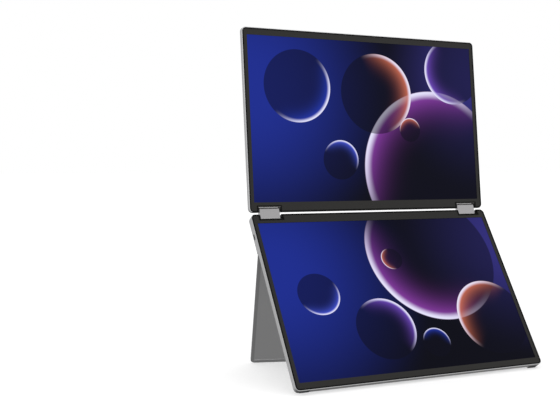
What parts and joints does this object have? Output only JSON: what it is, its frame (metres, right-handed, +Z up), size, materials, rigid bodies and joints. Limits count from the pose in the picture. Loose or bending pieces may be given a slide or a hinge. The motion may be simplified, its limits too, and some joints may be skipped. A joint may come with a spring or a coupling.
{
  "type": "dual-screen portable monitor",
  "caption": "Folding portable monitor: an upper and a lower screen on geared hinge blocks, with a slanted fold-out stand, side sockets and keys, and a tripod socket.",
  "frame": {"origin": "on the table, under the middle of the part's box in the standing pose of the picture", "axes": "+X to the right for someone facing the screens, +Y to the back, +Z up"},
  "size_m": [0.3143, 0.1815, 0.3873],
  "materials": {
    "casing_silver": "fine satin anodised",
    "stand_silver": "fine satin anodised",
    "hinge_grey": "satin anodised with bright bevels",
    "seal_rubber": "matte",
    "bezel_black": "soft matte",
    "upper_screen": "lit picture behind satin glass",
    "lower_screen": "lit picture behind satin glass",
    "backing_alloy": "mill finish",
    "bracket_steel": "zinc plated",
    "shaft_steel": "ground",
    "screw_steel": "zinc plated",
    "board_green": "solder mask",
    "socket_steel": "nickel plated",
    "switch_black": "moulded",
    "menu_grey": "moulded, fine texture",
    "power_silver": "satin anodised",
    "nut_brass": "plated, dark in the thread",
    "foot_rubber": "matte"
  },
  "bodies": {
    "lower_panel": {"lower_rear_cover": "casing_silver", "lower_seal": "seal_rubber", "lower_bezel": "bezel_black", "lower_display": "lower_screen", "lower_backing_plate": "backing_alloy", "lower_bracket_left": "bracket_steel", "lower_bracket_right": "bracket_steel", "stand_leaf_1": "bracket_steel", "stand_leaf_2": "bracket_steel", "lock_plate": "bracket_steel", "lower_shaft_left": "shaft_steel", "lower_shaft_right": "shaft_steel", "lower_bracket_screws": "screw_steel", "board_screws": "screw_steel", "stand_leaf_screws": "screw_steel", "main_board": "board_green", "oval_socket_1": "socket_steel", "oval_socket_2": "socket_steel", "oval_socket_3": "socket_steel", "video_socket_1": "socket_steel", "video_socket_2": "socket_steel", "menu_key_switch": "switch_black", "power_button_switch": "switch_black", "tripod_nut": "nut_brass", "bottom_pads": "foot_rubber"},
    "hinge_links": {"hinge_block_left": "hinge_grey", "hinge_block_right": "hinge_grey", "hinge_cap_left": "hinge_grey", "hinge_cap_right": "hinge_grey"},
    "lower_idlers": {"lower_idler_left": "shaft_steel", "lower_idler_right": "shaft_steel"},
    "upper_idlers": {"upper_idler_left": "shaft_steel", "upper_idler_right": "shaft_steel"},
    "upper_panel": {"upper_rear_cover": "casing_silver", "upper_seal": "seal_rubber", "upper_bezel": "bezel_black", "upper_display": "upper_screen", "upper_backing_plate": "backing_alloy", "upper_bracket_left": "bracket_steel", "upper_bracket_right": "bracket_steel", "upper_shaft_left": "shaft_steel", "upper_shaft_right": "shaft_steel", "upper_bracket_screws": "screw_steel", "driver_board": "board_green"},
    "kickstand": {"stand_plate": "stand_silver", "stand_pins": "shaft_steel", "stand_foot": "foot_rubber"},
    "menu_key": {"menu_key": "menu_grey"},
    "power_button": {"power_button": "power_silver"}
  },
  "joints": [
    {"name": "link_turn", "type": "hinge", "parent": "lower_panel", "child": "hinge_links", "pos_m": [0, 0.02753, 0.17333], "axis": [1, 0, 0], "range_deg": [-71.4, 76.1]},
    {"name": "screen_turn", "type": "hinge", "parent": "hinge_links", "child": "upper_panel", "pos_m": [0, 0.03093, 0.18272], "axis": [1, 0, 0], "range_deg": [-71.4, 76.1]},
    {"name": "lower_idler_turn", "type": "hinge", "parent": "hinge_links", "child": "lower_idlers", "pos_m": [0, 0.02867, 0.17646], "axis": [1, 0, 0], "range_deg": [-71.4, 76.1]},
    {"name": "upper_idler_turn", "type": "hinge", "parent": "hinge_links", "child": "upper_idlers", "pos_m": [0, 0.0298, 0.17959], "axis": [1, 0, 0], "range_deg": [-76.1, 71.4]},
    {"name": "kickstand_turn", "type": "hinge", "parent": "lower_panel", "child": "kickstand", "pos_m": [-0.1568, 0.00555, 0.13509], "axis": [0.9632, -0.1496, -0.2235], "range_deg": [-69.6, 0]},
    {"name": "menu_key_press", "type": "slide", "parent": "lower_panel", "child": "menu_key", "axis": [-1, 0, 0], "range_m": [0, 0.0005], "stiffness_N_per_m": 3000, "springref_m": -0.0002},
    {"name": "power_button_press", "type": "slide", "parent": "lower_panel", "child": "power_button", "axis": [-1, 0, 0], "range_m": [0, 0.0005], "stiffness_N_per_m": 3000, "springref_m": -0.0002}
  ],
  "couplings": [
    {"joint": "screen_turn", "follows": "link_turn", "ratio": 1},
    {"joint": "lower_idler_turn", "follows": "link_turn", "ratio": 1},
    {"joint": "upper_idler_turn", "follows": "link_turn", "ratio": -1}
  ]
}
